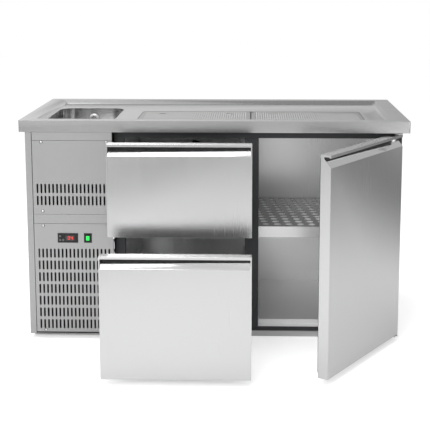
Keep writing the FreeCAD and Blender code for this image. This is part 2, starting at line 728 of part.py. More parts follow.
def make_rocker():
    """Lit rocker switch: a framed housing and the rocker that tips in it about a level axis."""
    frame = box("rocker_frame", ("rocker_left", "rocker_left + rocker_width"), ("fronts - 3", "fronts"),
                ("control_low", "control_high"))
    body = box("rocker_body", ("rocker_left + 3.2", "rocker_left + rocker_width - 3.2"),
               ("fronts", "fronts + 28"), ("control_low + 3.2", "control_high - 3.2"))
    well = box("rocker_well", ("rocker_left + 5", "rocker_left + rocker_width - 5"),
               ("fronts - 4", "fronts + 12"), ("control_low + 5", "control_high - 5"))
    seat = rocker_axis("rocker_seat", "rocker_width / 2 - 3.2", "rocker_pin + 0.1")
    piece(cut("rocker_housing", fuse("rocker_block", frame, body), well, seat), "rocker_housing")
    half = "(control_height / 2 - 6.5)"
    points = [(f"0 - {half}", "0 - 6.5"), (f"{half}", "0 - 3.5"), (f"{half} - 2", "4"), ("0", "5"),
              (f"2 - {half}", "4")]
    key = prism("rocker_key", "YZ", [(y, z) for z, y in points],
                ("0 - rocker_width / 2 + 5.4", "rocker_width / 2 - 5.4"))
    for name, text in zip("xyz", ("rocker_middle", ROCKER_Y, "control_middle")):
        bind(key, ".Placement.Base." + name, text)
    pin = rocker_axis("rocker_pivot", "rocker_width / 2 - 3.6", "rocker_pin")
    piece(fuse("rocker_switch", key, pin), "rocker_switch")


make_service_front()
make_screws()
make_controller()
make_buttons()
make_rocker()

# ---------------------------------------------------------------------------------------------
# refrigeration unit
# ---------------------------------------------------------------------------------------------
def finned_coil(label, x, y, z, fin_count):
    """A tube block with upright fins standing out on both faces."""
    middle = f"(({y[0]}) + ({y[1]})) / 2"
    spine = f"(({y[1]}) - ({y[0]})) / 5"
    body = prism(label, "XY", rectangle(x, (f"{middle} - {spine}", f"{middle} + {spine}")), z)
    sketch = new_sketch(body, label + "_fin", "XY", z[0])
    outline(sketch, rectangle((x[0], f"({x[0]}) + 1.2"), y))
    fin = pad(body, sketch, f"({z[1]}) - ({z[0]})")
    doc.recompute()
    pattern = body.newObject("PartDesign::LinearPattern", "Fins")
    pattern.Originals = [fin]
    axis = [item for item in body.Origin.OriginFeatures if item.Role == "X_Axis"][0]
    pattern.Direction = (axis, [""])
    bind(pattern, "Length", f"({x[1]}) - ({x[0]}) - 1.2")
    pattern.Occurrences = fin_count
    body.Tip = pattern
    return piece(body, label)


def fan(label, centre, radius, hub):
    """Axial fan: a hub with five pitched blades, turning about Y."""
    hub_rod = rod(label + "_hub", "y", ("0", "0 - 8", "0"), hub, "16")
    parts = [hub_rod]
    blades = int(number("fan_blades"))
    for index in range(blades):
        blade = doc.addObject("Part::Box", label + "_blade")
        bind(blade, "Length", f"({radius}) - ({hub}) + 4")
        bind(blade, "Width", "1.6")
        bind(blade, "Height", f"({radius}) * blade_chord")
        pitch = Rotation(Vector(1, 0, 0), 28)
        reach = number(f"({hub}) - 4")
        chord = number(f"({radius}) * blade_chord")
        seat = Placement(Vector(reach, 0, 0), pitch) * Placement(Vector(0, -0.8, -chord / 2), Rotation())
        blade.Placement = Placement(Vector(), Rotation(Vector(0, 1, 0), 360 / blades * index)) * seat
        parts.append(blade)
    whole = fuse(label + "_rotor", *parts)
    reach_limit = rod(label + "_reach", "y", ("0", "0 - 30", "0"), radius, "60")
    trimmed = doc.addObject("Part::Common", label + "_trimmed")
    trimmed.Base = whole
    trimmed.Tool = reach_limit
    for name, text in zip("xyz", centre):
        bind(trimmed, ".Placement.Base." + name, text)
    return piece(trimmed, label)


def fan_shroud(label, x, y, z, centre, radius):
    """A flat fan plate with its round air opening and the motor's cross arm."""
    plate = box(label + "_plate", x, y, z)
    hole = rod(label + "_hole", "y", (centre[0], f"({y[0]}) - 5", centre[1]), f"({radius}) + 6", "60")
    return piece(cut(label, plate, hole), label)


def tube(label, points, radius, bend):
    """A bent pipe: straight runs joined by tangent arcs."""
    places = [Vector(*(number(text) for text in point)) for point in points]
    edges = []
    start = places[0]
    for before, corner, after in zip(places, places[1:], places[2:]):
        inward = (before - corner).normalize()
        outward = (after - corner).normalize()
        half = inward.getAngle(outward) / 2
        reach = bend / math.tan(half)
        first, last = corner + inward * reach, corner + outward * reach
        middle = corner + (inward + outward).normalize() * (bend / math.sin(half) - bend)
        edges.append(Part.LineSegment(start, first).toShape())
        edges.append(Part.Arc(first, middle, last).toShape())
        start = last
    edges.append(Part.LineSegment(start, places[-1]).toShape())
    wire = Part.Wire(edges)
    ring = Part.Wire(Part.Circle(places[0], places[1] - places[0], radius).toShape())
    return wire.makePipeShell([ring], True, True)


def make_pipes():
    """Discharge and suction lines as two separate copper tubes."""
    item = doc.addObject("Part::Feature", "refrigerant_pipes")
    top = "base_top + compressor_height / 2"
    left, right, depth = "panel_middle - 120", "panel_middle + 120", "compressor_y"
    over, coil, cold, level = "coil_top + 30", "fronts + 52", "cold_back - 35", "cold_fan_z + 20"
    discharge = [("panel_middle - compressor_radius", depth, top), (left, depth, top), (left, depth, over),
                 (left, coil, over), (left, coil, "coil_top + 0.2")]
    suction = [("panel_middle + compressor_radius", depth, top), (right, depth, top), (right, depth, level),
               (right, cold, level), ("drawers_left", cold, level)]
    shapes = [tube("discharge", discharge, 4, 14), tube("suction", suction, 5, 16)]
    item.Shape = Part.makeCompound(shapes)
    item.Placement = Placement()
    return piece(item, "refrigerant_pipes")


def make_compressor():
    """Hermetic compressor: a domed can on its foot plate."""
    radius, high = "compressor_radius", "compressor_height"
    points = [("0", "0"), (f"{radius} + 14", "0"), (f"{radius} + 14", "4"), (f"{radius} - 6", "4"),
              (radius, "16"), (radius, f"{high} * 0.55"), (f"{radius} + 3", f"{high} * 0.56"),
              (f"{radius} + 3", f"{high} * 0.6"), (f"{radius} - 2", f"{high} * 0.62"),
              (f"{radius} * 0.86", f"{high} * 0.85"), (f"{radius} * 0.55", f"{high} * 0.97"), ("0", high)]
    return piece(revolved("compressor", points, ("panel_middle", "compressor_y", "base_top")), "compressor")


def make_machine():
    coil_x = ("panel_left + 12", "panel_right - 12")
    finned_coil("condenser_coil", coil_x, ("fronts + 30", "fronts + 74"), ("base_top", "coil_top"), 40)
    centre = ("panel_middle", "bay_unit_z")
    fan_shroud("condenser_shroud", coil_x, ("fronts + 74", "fronts + 102"), ("base_top", "coil_top"), centre,
               "fan_radius")
    fan("condenser_fan_blade", ("panel_middle", "fronts + 88", "bay_unit_z"), "fan_radius", "fan_hub")
    motor = rod("motor_can", "y", ("panel_middle", "fronts + 103", "bay_unit_z"), "fan_hub + 8", "50")
    arm = box("motor_arm", (coil_x[0], coil_x[1]), ("fronts + 103", "fronts + 107"),
              ("bay_unit_z - 9", "bay_unit_z + 9"))
    piece(fuse("condenser_fan_motor", motor, arm), "condenser_fan_motor")
    make_compressor()
    make_pipes()
    cold_x = ("drawers_left + 24", "drawers_right - 24")
    coil_front = "cold_back - liner - cold_coil_depth"
    coil_z = ("cold_coil_low", "cold_coil_high")
    finned_coil("evaporator", cold_x, (coil_front, "cold_back - liner"), coil_z, 36)
    ring = box("cold_fan_plate", cold_x, (f"{coil_front} - 22", f"{coil_front} - 0.3"), coil_z)
    hole = rod("cold_fan_hole", "y", ("drawers_middle", f"{coil_front} - 40", "cold_fan_z"),
               "cold_fan_radius + 4", "60")
    arm = box("cold_fan_arm", ("drawers_middle - cold_fan_radius - 5", "drawers_middle + cold_fan_radius + 5"),
              (f"{coil_front} - 22", f"{coil_front} - 19"), ("cold_fan_z - 4", "cold_fan_z + 4"))
    piece(fuse("evaporator_fan_housing", cut("cold_fan_ring", ring, hole), arm), "evaporator_fan_housing")
    fan("evaporator_fan_blade", ("drawers_middle", f"{coil_front} - 9", "cold_fan_z"), "cold_fan_radius", "14")


make_machine()

# ---------------------------------------------------------------------------------------------
# fronts: door and drawers
# ---------------------------------------------------------------------------------------------
def front_section(front, low, high):
    """Side view of a front: foamed leaf with a finger grip under an overhanging lip at the top."""
    back = f"({front}) + front_thickness"
    lip = f"({front}) + grip_lip_thickness"
    deep = f"({front}) + grip_depth"
    return [(back, low), (front, low), (front, f"({high}) - grip_height"),
            (deep, f"({high}) - grip_back"), (deep, f"({high}) - grip_top"),
            (lip, f"({high}) - grip_top"), (lip, f"({high}) - grip_lip"), (front, f"({high}) - grip_lip"),
            (front, high), (back, high)]


def ring_points(x, z, inset):
    return rectangle((f"({x[0]}) + ({inset})", f"({x[1]}) - ({inset})"),
                     (f"({z[0]}) + ({inset})", f"({z[1]}) - ({inset})"))


def make_door():
    """The door's pieces are drawn about the hinge axis and turned together to the open angle."""
    x = ("hinge_inset - door_width", "hinge_inset")
    z = ("front_low", "front_high")
    front = "0 - hinge_inset"
    back = "front_thickness - hinge_inset"
    shell = prism("door_shell", "YZ", front_section(front, *z), x)
    bore = "hinge_radius + hinge_clearance"
    round_hole(shell, "upper_bore", "XY", "front_high", ("0", "0"), bore, "grip_top")
    round_hole(shell, "lower_bore", "XY", "front_low", ("0", "0"), bore, "18", True)
    liner = prism("door_liner", "XZ", ring_points(x, z, "gasket_inset + gasket_width + 2"),
                  (back, f"{back} + 6"))
    gasket = prism("door_gasket", "XZ", ring_points(x, z, "gasket_inset"), (back, f"{back} + gasket_thickness"),
                   [ring_points(x, z, "gasket_inset + gasket_width")])
    for body, label in ((shell, "door_shell"), (liner, "door_liner"), (gasket, "door_gasket")):
        body.Placement = Placement(Vector(), Rotation(Vector(0, 0, 1), number("door_angle")))
        bind(body, ".Placement.Rotation.Angle", "door_angle")
        bind(body, ".Placement.Base.x", "hinge_x")
        bind(body, ".Placement.Base.y", "hinge_y")
        piece(body, label)


def make_hinges():
    """Two hinge brackets on the front frame, each with a plate, a leg and a pin."""
    x = ("hinge_x - 13", "hinge_x + 13")
    brackets = []
    for name, plate, leg, pin in (
            ("upper", ("front_high + 2", "front_high + 2 + hinge_plate"), ("front_high - 10", "front_high + 2"),
             ("front_high + 2 - 8.5", "8.5")),
            ("lower", ("plinth_height", "plinth_height + hinge_plate"),
             ("plinth_height + hinge_plate", "front_low + 10"), ("plinth_height + hinge_plate", "16"))):
        parts = [box(name + "_plate", x, ("fronts", "frame_front"), plate),
                 box(name + "_leg", x, ("frame_front - 3", "frame_front"), leg),
                 rod(name + "_pin", "z", ("hinge_x", "hinge_y", pin[0]), "hinge_radius", pin[1])]
        brackets.append(fuse(name + "_hinge_bracket", *parts))
    return piece(group("hinge_brackets", *brackets), "hinge_brackets")


DRAWERS = {
    "upper": ("upper_low", "front_high", "upper_box_low", "upper_box_high", "upper_out"),
    "lower": ("front_low", "lower_high", "lower_box_low", "lower_box_high", "lower_out"),
}


def runner_level(name):
    low, high = DRAWERS[name][2:4]
    return f"(({low}) + ({high})) / 2"


def make_drawer(name, low, high, box_low, box_high, out):
    """A drawer at its drawn-out place: foamed front, gasket and steel box with its inner rails."""
    x = ("drawers_middle - drawer_width / 2", "drawers_middle + drawer_width / 2")
    front = f"fronts - {out}"
    back = f"front_inside - {out}"
    section = prism(name + "_leaf", "YZ", front_section(front, low, high), x)
    caps = [box("grip_cap", edge, (front, f"{front} + grip_depth"), (f"{high} - grip_height", high))
            for edge in ((x[0], f"{x[0]} + grip_cap"), (f"{x[1]} - grip_cap", x[1]))]
    piece(fuse(name + "_drawer_front", section, *caps), name + "_drawer_front")
    z = (low, high)
    gasket = prism(name + "_drawer_gasket", "XZ", ring_points(x, z, "gasket_inset"),
                   (back, f"{back} + gasket_thickness"), [ring_points(x, z, "gasket_inset + gasket_width")])
    piece(gasket, name + "_drawer_gasket")
    box_x = ("drawers_middle - box_width / 2", "drawers_middle + box_width / 2")
    end = f"{back} + drawer_depth"
    outer = box(name + "_tray", box_x, (back, end), (box_low, box_high))
    inner = box(name + "_space", (f"{box_x[0]} + drawer_wall", f"{box_x[1]} - drawer_wall"),
                (f"{back} + drawer_wall", f"{end} - drawer_wall"),
                (f"{box_low} + drawer_wall", f"{box_high} + 5"))
    level = runner_level(name)
    tray = cut(name + "_hollow_tray", outer, inner)
    rails = [box(name + "_rail", rail_x, (f"{back} + 12", end), (f"{level} - 10", f"{level} + 10"))
             for rail_x in ((f"{box_x[0]} - 9", box_x[0]), (box_x[1], f"{box_x[1]} + 9"))]
    piece(fuse(name + "_drawer_box", tray, *rails), name + "_drawer_box")


def channel(label, web, depth, level, half, y):
    """A C-shaped rail: its web stands at one side; depth holds the sign and reach of its flanges."""
    gauge = "runner_gauge"
    sign = depth[0]
    far = f"{web} {sign} ({depth[1:]})"
    wall = f"{web} {sign} {gauge}"
    points = [(web, f"{level} - {half}"), (far, f"{level} - {half}"), (far, f"{level} - {half} + {gauge}"),
              (wall, f"{level} - {half} + {gauge}"), (wall, f"{level} + {half} - {gauge}"),
              (far, f"{level} + {half} - {gauge}"), (far, f"{level} + {half}"), (web, f"{level} + {half}")]
    return prism(label, "XZ", points, y)


def make_runners():
    """Telescopic runners: a rail fixed to the cabinet and a middle rail that travels half as far."""
    fixed = []
    rail_y = ("frame_back + 8", "frame_back + 8 + runner_length")
    left, right = "drawers_left + liner", "drawers_right"
    for name, values in DRAWERS.items():
        level = runner_level(name)
        travelled = f"({values[4]}) / 2"
        fixed.append(channel(name + "_fixed_left", left, "+ 12", level, "22.5", rail_y))
        fixed.append(channel(name + "_fixed_right", right, "- 12", level, "22.5", rail_y))
        middle_y = (f"{rail_y[0]} - {travelled}", f"{rail_y[1]} - {travelled}")
        middle = [channel(name + "_middle_left", f"{left} + 2.1", "+ 9", level, "16", middle_y),
                  channel(name + "_middle_right", f"{right} - 2.1", "- 9", level, "16", middle_y)]
        piece(group(name + "_drawer_slides", *middle), name + "_drawer_slides")
    piece(group("cabinet_runners", *fixed), "cabinet_runners")


def make_shelf():
    """Perforated shelf with a front lip and a stiffener behind it; its rows of holes drift sideways."""
    x = ("divider + 3", "door_open_right - liner - 3")
    y = ("frame_back + 6", "cold_back - liner - 8")
    high = "shelf_height"
    points = [(y[0], f"{high} - shelf_lip"), (f"{y[0]} + steel", f"{high} - shelf_lip"),
              (f"{y[0]} + steel", f"{high} - steel"), (f"{y[1]} - steel", f"{high} - steel"),
              (f"{y[1]} - steel", f"{high} - 20"), (y[1], f"{high} - 20"), (y[1], high), (y[0], high)]
    body = prism("shelf_sheet", "YZ", points, x)
    sketch = new_sketch(body, "shelf_hole_outline", "XY", high)
    first = (f"{x[0]} + 80", f"{y[0]} + 38")
    circle(sketch, first, "shelf_hole / 2")
    start = Vector(number(first[0]), number(first[1]), 0)
    drift = Vector(-number("shelf_drift"), number("shelf_pitch"), 0)
    sketch.addGeometry(Part.LineSegment(start, start + drift), True)
    opening = pocket(body, sketch, "8")
    doc.recompute()
    rows = repeat(body, opening, [("X", "shelf_holes", "shelf_pitch * (shelf_holes - 1)"),
                                  ("Y", "shelf_holes", "shelf_pitch * (shelf_holes - 1)")])
    rows.Transformations[1].Direction = (sketch, ["Axis0"])
    back = f"{y[0]} + stiffener_back"
    angle = [(f"{y[0]} + 1", f"{high} - shelf_lip"), (back, f"{high} - shelf_lip"),
             (back, f"{high} - stiffener_low"), (f"{back} + steel", f"{high} - stiffener_low"),
             (f"{back} + steel", f"{high} - shelf_lip + steel"), (f"{y[0]} + 1", f"{high} - shelf_lip + steel")]
    between_rails = (f"{x[0]} + shelf_rail_reach + 2", f"{x[1]} - shelf_rail_reach - 2")
    piece(fuse("shelf_block", body, prism("shelf_stiffener", "YZ", angle, between_rails)), "shelf")
    rails = []
    for name, wall, reach in (("left", "divider", "+"), ("right", "door_open_right - liner", "-")):
        edge = f"{wall} {reach} shelf_rail_reach"
        sheet_side = f"{wall} {reach} 1.5"
        points = [(wall, f"{high} - 60"), (sheet_side, f"{high} - 60"), (sheet_side, f"{high} - steel - 2"),
                  (edge, f"{high} - steel - 2"), (edge, f"{high} - steel"), (wall, f"{high} - steel")]
        rails.append(prism("shelf_rail_" + name, "XZ", points, (f"{y[0]} + 4", f"{y[1]} - 4")))
    piece(group("shelf_rails", *rails), "shelf_rails")


make_door()
make_hinges()
for drawer_name, drawer_values in DRAWERS.items():
    make_drawer(drawer_name, *drawer_values)
make_runners()
make_shelf()

# ---------------------------------------------------------------------------------------------
# check and export
# ---------------------------------------------------------------------------------------------
doc.recompute()
failed = [f"{item.Name} ({item.Label})" for item in doc.Objects
          if "Invalid" in item.State or "Error" in item.State]
failed += [f"{item.Label} has no valid solid" for item in PIECES
           if item.Shape.isNull() or not item.Shape.isValid() or not item.Shape.Solids]
if failed:
    raise RuntimeError("these did not come out: " + ", ".join(failed))

os.makedirs("parts", exist_ok=True)
for item in PIECES:
    item.Shape.exportStep(f"parts/{item.Label}.step")
    print(f"{item.Label}: {len(item.Shape.Solids)} solid(s), {item.Shape.Volume / 1000:.1f} cm3")
print(len(PIECES), "pieces")
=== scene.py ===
import json
import math

import bmesh
import bpy
from mathutils import Matrix, Vector


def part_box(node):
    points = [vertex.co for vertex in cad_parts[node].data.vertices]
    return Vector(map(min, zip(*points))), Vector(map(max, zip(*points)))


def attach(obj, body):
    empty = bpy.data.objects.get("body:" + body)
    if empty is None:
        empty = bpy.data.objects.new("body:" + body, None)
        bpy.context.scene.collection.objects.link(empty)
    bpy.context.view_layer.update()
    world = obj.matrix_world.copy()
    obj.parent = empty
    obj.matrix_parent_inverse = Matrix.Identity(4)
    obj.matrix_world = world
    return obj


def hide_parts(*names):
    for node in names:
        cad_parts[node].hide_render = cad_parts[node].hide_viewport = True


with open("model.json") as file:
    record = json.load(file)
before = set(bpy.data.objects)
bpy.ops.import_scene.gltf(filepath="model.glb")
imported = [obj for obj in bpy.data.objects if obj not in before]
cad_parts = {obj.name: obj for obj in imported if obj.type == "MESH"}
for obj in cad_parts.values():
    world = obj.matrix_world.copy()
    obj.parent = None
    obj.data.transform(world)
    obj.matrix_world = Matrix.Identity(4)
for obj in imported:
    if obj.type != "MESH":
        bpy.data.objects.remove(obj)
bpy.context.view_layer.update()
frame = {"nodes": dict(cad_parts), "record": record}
MM = 0.001
GLUE = 1e-6
CLOSE = 1e-5


# ---------------------------------------------------------------------------------------------
# camera, floor and light
# ---------------------------------------------------------------------------------------------
def add_to_scene(name, data):
    """Make an object of some data and link it to the scene."""
    item = bpy.data.objects.new(name, data)
    bpy.context.scene.collection.objects.link(item)
    return item


def make_camera():
    """A long lens above the worktop and a little right of the middle, with a small tilt and shift."""
    data = bpy.data.cameras.new("camera")
    camera = add_to_scene("camera", data)
    camera.location = (0.150, -4.247, 1.428)
    tilt, turn = math.radians(8.965), math.radians(1.466)
    camera.rotation_euler = (math.radians(90) - tilt, 0, turn)
    data.sensor_width = 36
    data.lens = 86.4
    data.shift_x = -0.027
    data.shift_y = -0.181
    bpy.context.scene.camera = camera


def mix_values(tree, factor, low, high):
    """A float mix: low and high are numbers or sockets."""
    node = tree.nodes.new("ShaderNodeMix")
    node.data_type = "FLOAT"
    tree.links.new(factor, node.inputs[0])
    for socket, value in ((node.inputs[2], low), (node.inputs[3], high)):
        if isinstance(value, (int, float)):
            socket.default_value = value
        else:
            tree.links.new(value, socket)
    return node.outputs[0]


def map_range(tree, source, start, end, low, high):
    """Map a value from start..end to low..high and hold it beyond."""
    node = tree.nodes.new("ShaderNodeMapRange")
    for name, value in (("From Min", start), ("From Max", end), ("To Min", low), ("To Max", high)):
        node.inputs[name].default_value = value
    tree.links.new(source, node.inputs["Value"])
    return node.outputs["Result"]


def math_node(tree, operation, first, second):
    """Combine two sockets by an operation."""
    node = tree.nodes.new("ShaderNodeMath")
    node.operation = operation
    tree.links.new(first, node.inputs[0])
    tree.links.new(second, node.inputs[1])
    return node.outputs[0]


def make_floor():
    """A pale floor, white to the camera; to reflections it shows painted shade, darker to the right, and far
    off to the left.
    """
    half = 14
    mesh = bpy.data.meshes.new("floor")
    mesh.from_pydata([(-half, -half, 0), (half, -half, 0), (half, half, 0), (-half, half, 0)], [],
                     [(0, 1, 2, 3)])
    floor = add_to_scene("floor", mesh)
    floor.location.z = -0.0005
    material = bpy.data.materials.new("floor")
    material.use_nodes = True
    tree = material.node_tree
    tree.nodes.remove(tree.nodes["Principled BSDF"])
    rays = tree.nodes.new("ShaderNodeLightPath")
    seen = tree.nodes.new("ShaderNodeBsdfDiffuse")
    seen.inputs["Color"].default_value = (0.93, 0.93, 0.93, 1)
    glow = tree.nodes.new("ShaderNodeEmission")
    glow.inputs["Strength"].default_value = 0.44
    bright = tree.nodes.new("ShaderNodeAddShader")
    tree.links.new(seen.outputs[0], bright.inputs[0])
    tree.links.new(glow.outputs[0], bright.inputs[1])
    place = tree.nodes.new("ShaderNodeTexCoord")
    split = tree.nodes.new("ShaderNodeSeparateXYZ")
    tree.links.new(place.outputs["Object"], split.inputs[0])
    # painted shade for reflections: the floor's colour darkens to the right, and far off to the left
    right = map_range(tree, split.outputs["X"], 1.8, 4.5, 0.95, 0.40)
    left = map_range(tree, split.outputs["X"], -2.0, 0.8, 0.36, 1.0)
    near = map_range(tree, split.outputs["Y"], -4.6, -3.4, 0.0, 1.0)
    shade = math_node(tree, "MULTIPLY", right, mix_values(tree, near, left, 1.0))
    reflected_painted_shade = tree.nodes.new("ShaderNodeBsdfDiffuse")
    tree.links.new(shade, reflected_painted_shade.inputs["Color"])
    choose = tree.nodes.new("ShaderNodeMixShader")
    tree.links.new(rays.outputs["Is Camera Ray"], choose.inputs[0])
    tree.links.new(reflected_painted_shade.outputs[0], choose.inputs[1])
    tree.links.new(bright.outputs[0], choose.inputs[2])
    tree.links.new(choose.outputs[0], tree.nodes["Material Output"].inputs["Surface"])
    floor.data.materials.append(material)


def area_light(name, place, target, size, power):
    """A rectangular softbox at a place, turned to face a target."""
    data = bpy.data.lights.new(name, "AREA")
    data.shape = "RECTANGLE"
    data.size, data.size_y = size
    data.energy = power
    light = add_to_scene(name, data)
    light.location = place
    light.rotation_euler = (Vector(target) - Vector(place)).to_track_quat("-Z", "Y").to_euler()


def make_world():
    """White to the camera; in reflections it is brighter towards the left."""
    world = bpy.data.worlds.new("studio")
    bpy.context.scene.world = world
    world.use_nodes = True
    tree = world.node_tree
    rays = tree.nodes.new("ShaderNodeLightPath")
    place = tree.nodes.new("ShaderNodeTexCoord")
    split = tree.nodes.new("ShaderNodeSeparateXYZ")
    tree.links.new(place.outputs["Generated"], split.inputs[0])
    side = map_range(tree, split.outputs["X"], -0.25, 0.20, 0.95, 0.45)
    mirror = math_node(tree, "MAXIMUM", rays.outputs["Is Glossy Ray"], rays.outputs["Is Transmission Ray"])
    strength = mix_values(tree, mirror, 0.60, side)
    strength = mix_values(tree, rays.outputs["Is Camera Ray"], strength, 1.0)
    tree.links.new(strength, tree.nodes["Background"].inputs["Strength"])
    tree.nodes["Background"].inputs["Color"].default_value = (1, 1, 1, 1)


def make_lights():
    """A broad overhead softbox and two front softboxes in an even pale world."""
    bpy.context.scene.view_settings.view_transform = "Standard"
    make_world()
    area_light("key", (-1.6, -4.2, 2.4), (-0.1, -0.3, 0.35), (2.4, 1.6), 62)
    area_light("fill", (2.4, -4.0, 1.3), (0.1, 0, 0.4), (1.6, 1.6), 24)
    area_light("top", (-0.35, -0.5, 3.0), (-0.2, -0.3, 0.8), (3.0, 2.6), 56)


# ---------------------------------------------------------------------------------------------
# materials
# ---------------------------------------------------------------------------------------------
def new_material(name, color, roughness, metallic=0.0):
    """A material and its shader, with uniform values set on the sockets."""
    material = bpy.data.materials.new(name)
    material.use_nodes = True
    shader = material.node_tree.nodes["Principled BSDF"]
    shader.inputs["Base Color"].default_value = (*color, 1)
    shader.inputs["Roughness"].default_value = roughness
    shader.inputs["Metallic"].default_value = metallic
    return material, shader


def stretched_noise(material, stretch, detail=3.0):
    """Noise drawn out along an axis: stretch is the number of features per metre on each axis."""
    tree = material.node_tree
    place = tree.nodes.new("ShaderNodeTexCoord")
    mapping = tree.nodes.new("ShaderNodeMapping")
    mapping.inputs["Scale"].default_value = stretch
    noise = tree.nodes.new("ShaderNodeTexNoise")
    noise.inputs["Scale"].default_value = 1.0
    noise.inputs["Detail"].default_value = detail
    tree.links.new(place.outputs["Object"], mapping.inputs["Vector"])
    tree.links.new(mapping.outputs["Vector"], noise.inputs["Vector"])
    return noise.outputs["Fac"]


def spread(material, source, low, high):
    """Map the middle half of a noise to a range."""
    return map_range(material.node_tree, source, 0.25, 0.75, low, high)


def tint(material, source, dark, light):
    """Mix two colours by a noise and return the colour."""
    node = material.node_tree.nodes.new("ShaderNodeMix")
    node.data_type = "RGBA"
    node.inputs["A"].default_value = (*dark, 1)
    node.inputs["B"].default_value = (*light, 1)
    material.node_tree.links.new(source, node.inputs["Factor"])
    return node.outputs["Result"]


def bump(material, shader, source, depth, strength):
    """Raise the surface by a noise."""
    node = material.node_tree.nodes.new("ShaderNodeBump")
    node.inputs["Distance"].default_value = depth
    node.inputs["Strength"].default_value = strength
    material.node_tree.links.new(source, node.inputs["Height"])
    material.node_tree.links.new(node.outputs["Normal"], shader.inputs["Normal"])


def brushed_steel(name, level, roughness, grain, contrast=0.05, metallic=1.0):
    """Brushed stainless sheet: fine scratches along one axis, with broad faint mottling."""
    material, shader = new_material(name, (level, level, level), roughness, metallic)
    tree = material.node_tree
    fine = stretched_noise(material, grain, 4.0)
    broad = stretched_noise(material, (3.0, 3.0, 3.0), 2.0)
    low, high = level * (1 - contrast), min(1.0, level * (1 + contrast))
    colour = tint(material, fine, (low, low, low * 1.01), (high, high, high * 0.995))
    tree.links.new(colour, shader.inputs["Base Color"])
    total = math_node(tree, "ADD", spread(material, fine, roughness - 0.03, roughness + 0.03),
                      spread(material, broad, -0.02, 0.02))
    tree.links.new(total, shader.inputs["Roughness"])
    bump(material, shader, fine, 0.00002, 0.06)
    return material


def mottled(name, color, roughness, grain=900.0, depth=0.00008, metallic=0.0, coat=0.0):
    """Moulded plastic, rubber or enamel: faint colour change and a fine even grain."""
    material, shader = new_material(name, color, roughness, metallic)
    tree = material.node_tree
    fine = stretched_noise(material, (grain, grain, grain), 2.0)
    broad = stretched_noise(material, (9.0, 9.0, 9.0), 3.0)
    dark = tuple(value * 0.86 for value in color)
    light = tuple(min(1.0, value * 1.12) for value in color)
    tree.links.new(tint(material, broad, dark, light), shader.inputs["Base Color"])
    tree.links.new(spread(material, fine, roughness - 0.06, roughness + 0.06), shader.inputs["Roughness"])
    shader.inputs["Coat Weight"].default_value = coat
    bump(material, shader, fine, depth, 0.4)
    return material


def lit(name, color, strength):
    """A lamp lens or display segment that gives its own light."""
    material, shader = new_material(name, tuple(value * 0.4 for value in color), 0.3)
    shader.inputs["Emission Color"].default_value = (*color, 1)
    shader.inputs["Emission Strength"].default_value = strength
    soft = stretched_noise(material, (300.0, 300.0, 300.0), 2.0)
    material.node_tree.links.new(spread(material, soft, 0.25, 0.4), shader.inputs["Roughness"])
    return material


ALONG_X = (5.0, 700.0, 700.0)
ALONG_Y = (700.0, 5.0, 700.0)
ALONG_Z = (700.0, 700.0, 5.0)
MATERIALS = {
    "worktop_steel": brushed_steel("worktop_steel", 0.56, 0.24, ALONG_X, 0.03),
    "plate_steel": brushed_steel("plate_steel", 0.40, 0.34, ALONG_X, 0.03),
    # drip trough: stainless darkened to 0.10 as painted shade
    "trough_painted_shade_steel": brushed_steel("trough_painted_shade_steel", 0.10, 0.50, ALONG_X, 0.03),
    # shelf top: stainless darkened as painted shade; its front lip keeps the front steel's level
    "shelf_painted_shade_steel": brushed_steel("shelf_painted_shade_steel", 0.26, 0.34, ALONG_X, 0.03),
    # hole collars: near-white and not metallic, a painted highlight
    "collar_painted_highlight": brushed_steel("collar_painted_highlight", 0.95, 0.50, ALONG_Z, 0.02, 0.0),
    # sink bowl: stainless lightened as painted light
    "bowl_painted_light_steel": brushed_steel("bowl_painted_light_steel", 0.74, 0.16, ALONG_Z, 0.02),
    "panel_steel": brushed_steel("panel_steel", 0.42, 0.38, ALONG_Z, 0.03),
    "front_steel": brushed_steel("front_steel", 0.62, 0.24, ALONG_Z, 0.01),
    # grip slopes: lightened to 0.92 as a painted highlight
    "grip_slope_painted_highlight": brushed_steel("grip_slope_painted_highlight", 0.92, 0.12, ALONG_X, 0.02),
    # inner steel: lightened as painted light for the shaded compartments
    "inner_steel": brushed_steel("inner_steel", 0.80, 0.28, ALONG_Y, 0.02),
    # liner walls: lightened and partly non-metallic as painted light
    "liner_painted_light_steel": brushed_steel("liner_painted_light_steel", 0.88, 0.30, ALONG_Z, 0.02, 0.8),
    "plinth_steel": brushed_steel("plinth_steel", 0.66, 0.40, ALONG_X),
    "frame_dark": mottled("frame_dark", (0.026, 0.027, 0.030), 0.45),
    "foam": mottled("foam", (0.82, 0.74, 0.52), 0.85, 400.0, 0.0004),
    "gasket": mottled("gasket", (0.028, 0.028, 0.031), 0.55),
    "black_plastic": mottled("black_plastic", (0.007, 0.007, 0.008), 0.60),
    "button_plastic": mottled("button_plastic", (0.14, 0.14, 0.15), 0.45),
    "window_black": mottled("window_black", (0.010, 0.008, 0.008), 0.12, 200.0, 0.00001, 0.0, 0.8),
    "lens_green": lit("lens_green", (0.02, 0.85, 0.10), 1.1),
    "digit_red": lit("digit_red", (1.0, 0.03, 0.02), 1.6),
    "zinc": mottled("zinc", (0.66, 0.66, 0.67), 0.28, 500.0, 0.00004, 1.0),
    "fins": brushed_steel("fins", 0.58, 0.38, ALONG_Z),
    "coil_black": mottled("coil_black", (0.022, 0.022, 0.024), 0.5),
    "copper": mottled("copper", (0.72, 0.36, 0.20), 0.30, 300.0, 0.00004, 1.0),
    "compressor_black": mottled("compressor_black", (0.015, 0.015, 0.016), 0.30, 500.0, 0.00005, 0.0, 0.4),
}
